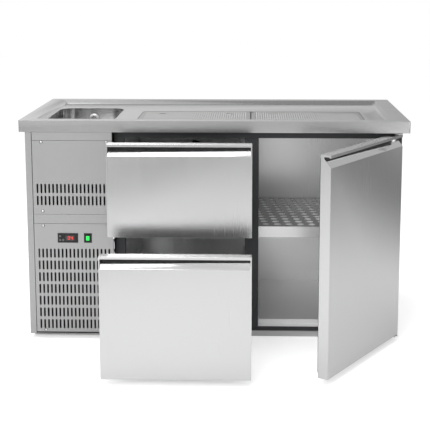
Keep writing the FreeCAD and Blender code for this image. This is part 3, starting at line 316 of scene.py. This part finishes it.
SPECIAL = {
    "sink_bowl": "bowl_painted_light_steel", "condenser_coil": "coil_black", "liner_back": "liner_painted_light_steel",
    "drip_plate_left": "plate_steel", "drip_plate_right": "plate_steel", "drip_trough": "trough_painted_shade_steel",
    "shelf": "shelf_painted_shade_steel",
    "liner_sides": "liner_painted_light_steel", "liner_floor": "liner_painted_light_steel", "liner_ceiling": "liner_painted_light_steel",
    "rocker_switch": "black_plastic", "drawer_divider": "liner_painted_light_steel",
}
SLOT_OF = {item["node"]: item["material_slot"] for item in frame["record"]["subparts"]}
BODY_OF = {node: body for body, nodes in frame["record"]["behaviour"]["bodies"].items() for node in nodes}


# ---------------------------------------------------------------------------------------------
# mesh tools
# ---------------------------------------------------------------------------------------------
def from_bmesh(name, bm, body, slot, material=None, smooth_angle=35):
    """Turn a bmesh into a finished piece that rides on a body; slot may be None."""
    mesh = bpy.data.meshes.new(name)
    bm.normal_update()
    bm.to_mesh(mesh)
    bm.free()
    for face in mesh.polygons:
        face.use_smooth = True
    mesh.set_sharp_from_angle(angle=math.radians(smooth_angle))
    item = add_to_scene(name, mesh)
    mesh.materials.append(MATERIALS[material or slot])
    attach(item, body)
    return item


def bevelled(item, width, segments=2, limit="ANGLE"):
    """Round the sharp or the weighted edges of a piece."""
    step = item.modifiers.new("edge", "BEVEL")
    step.width = width
    step.segments = segments
    step.limit_method = limit
    step.angle_limit = math.radians(40)
    step.harden_normals = True
    return item


def refine(node, width):
    """Stand a welded copy with rounded edges in for a CAD node."""
    bm = bmesh.new()
    bm.from_mesh(frame["nodes"][node].data)
    bmesh.ops.remove_doubles(bm, verts=bm.verts, dist=GLUE)
    bmesh.ops.dissolve_limit(bm, angle_limit=math.radians(0.5), verts=bm.verts, edges=bm.edges)
    item = from_bmesh(node + "_sheet", bm, BODY_OF[node], SLOT_OF[node], SPECIAL.get(node))
    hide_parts(node)
    return bevelled(item, width)


def add_box(bm, low, high, turn=None):
    """A closed box between two corners, turned about its own middle."""
    size = Vector(high) - Vector(low)
    middle = (Vector(high) + Vector(low)) / 2
    matrix = Matrix.Translation(middle) @ (turn or Matrix()) @ Matrix.Diagonal((*size, 1))
    bmesh.ops.create_cube(bm, size=1.0, matrix=matrix)


def add_prism(bm, section, left, right, matrix=None):
    """A closed outline of (y, z) points drawn along X."""
    ends = [[bm.verts.new((x, y, z)) for y, z in section] for x in (left, right)]
    faces = [bm.faces.new(ends[0]), bm.faces.new(ends[1][::-1])]
    count = len(section)
    for index in range(count):
        following = (index + 1) % count
        faces.append(bm.faces.new((ends[0][index], ends[1][index], ends[1][following], ends[0][following])))
    if matrix:
        bmesh.ops.transform(bm, matrix=matrix, verts=ends[0] + ends[1])
    bmesh.ops.recalc_face_normals(bm, faces=faces)


def add_turned(bm, points, place, axis=(0, 0, 1), steps=24, closed=False):
    """A turned form of (radius, height) points; closed joins the last point to the first."""
    turn = Vector((0, 0, 1)).rotation_difference(Vector(axis))
    rows = []
    for step in range(steps):
        angle = 2 * math.pi * step / steps
        rows.append([bm.verts.new(Vector(place) + turn @ Vector(
            (radius * math.cos(angle), radius * math.sin(angle), height))) for radius, height in points])
    count = len(points)
    faces = []
    for step in range(steps):
        here, there = rows[step], rows[(step + 1) % steps]
        for index in range(count if closed else count - 1):
            following = (index + 1) % count
            faces.append(bm.faces.new((here[index], there[index], there[following], here[following])))
    if not closed:
        faces.append(bm.faces.new([row[0] for row in rows]))
        faces.append(bm.faces.new([row[-1] for row in rows]))
    bmesh.ops.recalc_face_normals(bm, faces=faces)


def rounded_loop(low, high, radius, level, steps=6):
    """Points of a rounded rectangle, counter-clockwise from above."""
    corners = ((high.x - radius, low.y + radius, -90), (high.x - radius, high.y - radius, 0),
               (low.x + radius, high.y - radius, 90), (low.x + radius, low.y + radius, 180))
    return [(x + radius * math.cos(math.radians(first + 90 * step / steps)),
             y + radius * math.sin(math.radians(first + 90 * step / steps)), level)
            for x, y, first in corners for step in range(steps + 1)]


# ---------------------------------------------------------------------------------------------
# worktop and drip plates
# ---------------------------------------------------------------------------------------------
def make_worktop():
    """The worktop with a wide round on its outer top edge and small ones elsewhere."""
    low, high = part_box("worktop")
    top = refine("worktop", 0.8 * MM)
    top.modifiers.remove(top.modifiers["edge"])
    weights = top.data.attributes.new("bevel_weight_edge", "FLOAT", "EDGE")
    points = [vert.co for vert in top.data.vertices]
    for edge in top.data.edges:
        ends = [points[index] for index in edge.vertices]
        sides = [end for end in ends if abs(end.z - high.z) < CLOSE and min(
            end.x - low.x, high.x - end.x, end.y - low.y, high.y - end.y) < CLOSE]
        weights.data[edge.index].value = 1.0 if len(sides) == 2 else 0.0
    bevelled(top, 4 * MM, 3, "WEIGHT")
    bevelled(top, 0.8 * MM)


def perforated_sheet(bm, low, high, fingers, finger_radius):
    """A sheet at the top level with a square grid of small round holes; returns its outer edges."""
    pitch, radius, border = 9 * MM, 2.7 * MM, 13 * MM
    across = int((high.x - low.x - 2 * border) / pitch)
    along = int((high.y - low.y - 2 * border) / pitch)
    start_x = (low.x + high.x - across * pitch) / 2
    start_y = (low.y + high.y - along * pitch) / 2
    grid = [[bm.verts.new((start_x + i * pitch, start_y + j * pitch, high.z)) for j in range(along + 1)]
            for i in range(across + 1)]
    for i in range(across):
        for j in range(along):
            square = [grid[i][j], grid[i + 1][j], grid[i + 1][j + 1], grid[i][j + 1]]
            middle = (square[0].co + square[2].co) / 2
            if min((middle.xy - spot.xy).length for spot in fingers) < finger_radius + pitch:
                bm.faces.new(square)
                continue
            ring = [bm.verts.new((middle.x + radius * math.cos(math.radians(45 * k - 135)),
                                  middle.y + radius * math.sin(math.radians(45 * k - 135)), high.z))
                    for k in range(8)]
            for k in range(4):
                bm.faces.new((square[k], square[(k + 1) % 4], ring[(2 * k + 2) % 8], ring[2 * k + 1],
                              ring[2 * k]))
    chain = ([grid[i][0] for i in range(across)] + [grid[across][j] for j in range(along)]
             + [grid[i][along] for i in range(across, 0, -1)] + [grid[0][j] for j in range(along, 0, -1)])
    return [bm.edges.get((chain[k], chain[(k + 1) % len(chain)])) for k in range(len(chain))]


def make_drip_plate(node):
    """A pressed plate: small round holes, a folded edge and two rimmed finger holes, each drawn as a black
    disc of painted shade.
    """
    low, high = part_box(node)
    finger_radius, finger_inset, finger_back = 13 * MM, 85 * MM, 239.9 * MM
    corner_radius, gauge = 18 * MM, 1.4 * MM
    fingers = [Vector((x, low.y + finger_back, high.z))
               for x in (low.x + finger_inset, high.x - finger_inset)]
    bm = bmesh.new()
    outer = perforated_sheet(bm, low, high, fingers, finger_radius)
    rim = [bm.verts.new(point) for point in rounded_loop(low, high, corner_radius, high.z)]
    rim_edges = [bm.edges.new((rim[k], rim[(k + 1) % len(rim)])) for k in range(len(rim))]
    bmesh.ops.bridge_loops(bm, edges=outer + rim_edges)
    for made in bmesh.ops.extrude_edge_only(bm, edges=rim_edges)["geom"]:
        if isinstance(made, bmesh.types.BMVert):
            made.co.z = low.z + 0.3 * MM
    bmesh.ops.recalc_face_normals(bm, faces=bm.faces)
    if sum(face.normal.z * face.calc_area() for face in bm.faces) < 0:
        bmesh.ops.reverse_faces(bm, faces=bm.faces)
    plate = from_bmesh(node + "_sheet", bm, BODY_OF[node], SLOT_OF[node], "plate_steel", 50)
    solid = plate.modifiers.new("thickness", "SOLIDIFY")
    solid.thickness = gauge
    solid.offset = -1
    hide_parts(node)
    rims, finger_hole_shades = bmesh.new(), bmesh.new()
    for spot in fingers:
        add_turned(rims, [(finger_radius + 3.4 * MM, -0.3 * MM), (finger_radius + 2.6 * MM, 0.45 * MM),
                          (finger_radius + 0.4 * MM, 0.45 * MM), (finger_radius - 0.6 * MM, -0.3 * MM)],
                   spot, (0, 0, 1), 28, True)
        # black disc in the finger hole: painted shade
        add_turned(finger_hole_shades, [(finger_radius - 0.5 * MM, -0.3 * MM), (finger_radius - 0.5 * MM, 0.15 * MM)],
                   spot, (0, 0, 1), 28)
    from_bmesh(node + "_finger_rims", rims, BODY_OF[node], SLOT_OF[node])
    from_bmesh(node + "_finger_hole_painted_shade", finger_hole_shades, BODY_OF[node], "black_plastic")


# ---------------------------------------------------------------------------------------------
# grips of the drawers and the door
# ---------------------------------------------------------------------------------------------
GRIP_DEPTH, GRIP_TOP, GRIP_BACK, GRIP_LIP = 26 * MM, 7 * MM, 14 * MM, 6 * MM
GRIP_SLOPE = Vector((0, -0.756, 0.655))
SAME_WAY = 0.9
DOOR_TURN = math.radians(57)
DOOR_FACE, DOOR_FREE_END, DOOR_HINGE_END = -10 * MM, -557.5 * MM, 9.5 * MM
DOOR_FRAME = Matrix.Translation((0.711, -0.330, 0)) @ Matrix.Rotation(DOOR_TURN, 4, "Z")


def shade_grip_hollow(front, top, left, right, body, matrix=None):
    """A thin dark strip on the back and top walls of a grip's hollow: painted shade."""
    deep, under, back = front + GRIP_DEPTH, top - GRIP_TOP, top - GRIP_BACK
    gauge = 0.7 * MM
    section = [(deep - 0.1 * MM, back + 0.4 * MM), (deep - 0.1 * MM, under - 0.1 * MM),
               (front + GRIP_LIP + 0.2 * MM, under - 0.1 * MM), (front + GRIP_LIP + 0.2 * MM, under - gauge),
               (deep - gauge, under - gauge), (deep - gauge, back + 0.4 * MM)]
    bm = bmesh.new()
    add_prism(bm, section, left, right, matrix)
    from_bmesh(body + "_grip_painted_shade", bm, body, "black_plastic")


def paint_light_by_facing(item, material, direction):
    """Give the faces that look along a direction a brighter material: painted light on the side that faces
    the light.
    """
    item.data.materials.append(MATERIALS[material])
    for face in item.data.polygons:
        if face.normal.dot(direction) > SAME_WAY:
            face.material_index = 1


def make_fronts():
    """Drawer fronts and door: rounded edges, a painted highlight on each grip's slope and a dark lining of
    painted shade in each grip's hollow.
    """
    edge, cap = 1.2 * MM, 5.2 * MM
    for name in ("upper", "lower"):
        node = name + "_drawer_front"
        low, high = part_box(node)
        paint_light_by_facing(refine(node, edge), "grip_slope_painted_highlight", GRIP_SLOPE)
        shade_grip_hollow(low.y, high.z, low.x + cap, high.x - cap, name + "_drawer")
    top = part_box("door_shell")[1].z
    door_slope = Matrix.Rotation(DOOR_TURN, 3, "Z") @ GRIP_SLOPE
    paint_light_by_facing(refine("door_shell", edge), "grip_slope_painted_highlight", door_slope)
    shade_grip_hollow(DOOR_FACE, top, DOOR_FREE_END, DOOR_HINGE_END, "door", DOOR_FRAME)


# ---------------------------------------------------------------------------------------------
# controller and rocker
# ---------------------------------------------------------------------------------------------
SEGMENTS = {"0": "abcdef", "4": "bcfg"}


def add_digit(bm, text, left, middle, front):
    """One seven-segment digit."""
    wide, tall, thick = 7.5 * MM, 13 * MM, 1.7 * MM
    half = tall / 2
    bars = {
        "a": ((left, middle + half - thick), (left + wide, middle + half)),
        "g": ((left, middle - thick / 2), (left + wide, middle + thick / 2)),
        "d": ((left, middle - half), (left + wide, middle - half + thick)),
        "f": ((left, middle), (left + thick, middle + half)),
        "b": ((left + wide - thick, middle), (left + wide, middle + half)),
        "e": ((left, middle - half), (left + thick, middle)),
        "c": ((left + wide - thick, middle - half), (left + wide, middle)),
    }
    gap, raised = 0.25 * MM, 0.3 * MM
    for bar in SEGMENTS[text]:
        (x0, z0), (x1, z1) = bars[bar]
        add_box(bm, (x0 + gap, front - raised, z0 + gap), (x1 - gap, front, z1 - gap))


def make_controls():
    """The thermostat's window and digits, and the rocker with its lit lens."""
    low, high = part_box("controller_housing")
    middle = (low.z + high.z) / 2
    recess = low.y + 1.5 * MM
    window_thick, half_tall = 0.9 * MM, 10.7 * MM
    glass = bmesh.new()
    add_box(glass, (low.x + 30.3 * MM, recess - window_thick, middle - half_tall),
            (low.x + 65.7 * MM, recess, middle + half_tall))
    bevelled(from_bmesh("controller_window", glass, "cabinet", "black_plastic", "window_black"), 0.3 * MM)
    digits = bmesh.new()
    for text, left in (("0", 40 * MM), ("4", 51.5 * MM)):
        add_digit(digits, text, low.x + left, middle, recess - window_thick)
    from_bmesh("controller_digits", digits, "cabinet", None, "digit_red")
    low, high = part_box("rocker_housing")
    centre = Vector(((low.x + high.x) / 2, low.y - 2.2 * MM, (low.z + high.z) / 2))
    lens = bmesh.new()
    half = Vector((6.5 * MM, 0.5 * MM, 8.5 * MM))
    add_box(lens, centre - half, centre + half, Matrix.Rotation(-math.atan(3 / 24), 4, "X"))
    bevelled(from_bmesh("rocker_lens", lens, "rocker", "lens_green"), 0.8 * MM)
    for node, width in (("controller_housing", 1.0), ("rocker_housing", 1.0), ("rocker_switch", 0.6)):
        refine(node, width * MM)


# ---------------------------------------------------------------------------------------------
# shelf, sink and fastenings
# ---------------------------------------------------------------------------------------------
def make_shelf_details():
    """The shelf: its top darkened as painted shade below a front lip at the front steel's level, and
    near-white collars in its holes as painted highlights.
    """
    paint_light_by_facing(refine("shelf", 0.5 * MM), "front_steel", Vector((0, -1, 0)))
    low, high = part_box("shelf")
    pitch, drift, count, margin, front = 46 * MM, 6 * MM, 11, 80 * MM, 38 * MM
    collars = bmesh.new()
    for i in range(count):
        for j in range(count):
            spot = (low.x + margin + i * pitch - j * drift, low.y + front + j * pitch, high.z)
            add_turned(collars, [(13.9 * MM, 0.2 * MM), (13.9 * MM, -9 * MM), (12.6 * MM, -9 * MM),
                                 (13.3 * MM, 0.2 * MM)], spot, (0, 0, 1), 16, True)
    # the collars' near-white finish is a painted highlight in the shelf holes
    from_bmesh("shelf_hole_collars", collars, "shelf", "inner_steel", "collar_painted_highlight")


def make_sink_details():
    """Black discs in the overflow rosette's holes: painted shade."""
    low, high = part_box("overflow_rosette")
    middle = Vector(((low.x + high.x) / 2, low.y, (low.z + high.z) / 2))
    holes = bmesh.new()
    for ring, count, size in ((0.0, 1, 3.4 * MM), (9 * MM, 7, 3.1 * MM)):
        for step in range(count):
            angle = 2 * math.pi * step / count
            spot = middle + Vector((ring * math.cos(angle), 0.9 * MM, ring * math.sin(angle)))
            add_turned(holes, [(size, 0), (size, 1.0 * MM)], spot, (0, -1, 0), 14)
    from_bmesh("overflow_hole_painted_shade", holes, "cabinet", "black_plastic")


def make_screw_shadow_rings():
    """A dark ring round the head of each panel screw: painted shadow."""
    bm = bmesh.new()
    bm.from_mesh(frame["nodes"]["panel_screws"].data)
    bmesh.ops.remove_doubles(bm, verts=bm.verts, dist=GLUE)
    front = min(vert.co.y for vert in bm.verts)
    tips = {(round(vert.co.x, 3), round(vert.co.z, 3)) for vert in bm.verts if vert.co.y < front + 0.01 * MM}
    bm.free()
    inner, outer, thick, head_height = 5.1 * MM, 6.3 * MM, 0.5 * MM, 2.1 * MM
    shadow_rings = bmesh.new()
    for x, z in sorted(tips):
        add_turned(shadow_rings, [(inner, 0), (outer, 0), (outer - 0.2 * MM, thick), (inner, thick)],
                   (x, front + head_height, z), (0, -1, 0), 20, True)
    from_bmesh("screw_painted_shadows", shadow_rings, "cabinet", "gasket")


# ---------------------------------------------------------------------------------------------
# the carried-over nodes
# ---------------------------------------------------------------------------------------------
ROUNDED = {
    "service_strips": 0.35, "upper_service_panel": 0.35, "lower_louvre_panel": 0.35,
    "door_liner": 3.0, "door_gasket": 2.5, "upper_drawer_gasket": 2.5, "back_panel": 0.35,
    "lower_drawer_gasket": 2.5, "upper_drawer_box": 0.8, "lower_drawer_box": 0.8, "frame_top_rail": 1.5,
    "frame_bottom_rail": 1.5, "frame_cross_rail": 1.5, "frame_stile_left": 1.5, "frame_mullion": 1.5,
    "frame_stile_right": 1.5, "plinth_frame": 1.0, "shelf_rails": 0.5, "hinge_brackets": 0.5,
    "side_panel_left": 0.5, "side_panel_right": 0.5, "base_plate": 0.4, "condenser_shroud": 1.0,
    "evaporator_fan_housing": 1.0, "drawer_divider": 0.3, "cable_gland": 0.8,
}


def make_carried_nodes():
    """Round the edges that show and give every CAD node its material."""
    for node, width in ROUNDED.items():
        refine(node, width * MM)
    for node, item in frame["nodes"].items():
        item.data.materials.clear()
        item.data.materials.append(MATERIALS[SPECIAL.get(node, SLOT_OF[node])])


make_camera()
make_floor()
make_lights()
make_carried_nodes()
make_worktop()
for plate in ("drip_plate_left", "drip_plate_right"):
    make_drip_plate(plate)
make_fronts()
make_controls()
make_shelf_details()
make_sink_details()
make_screw_shadow_rings()
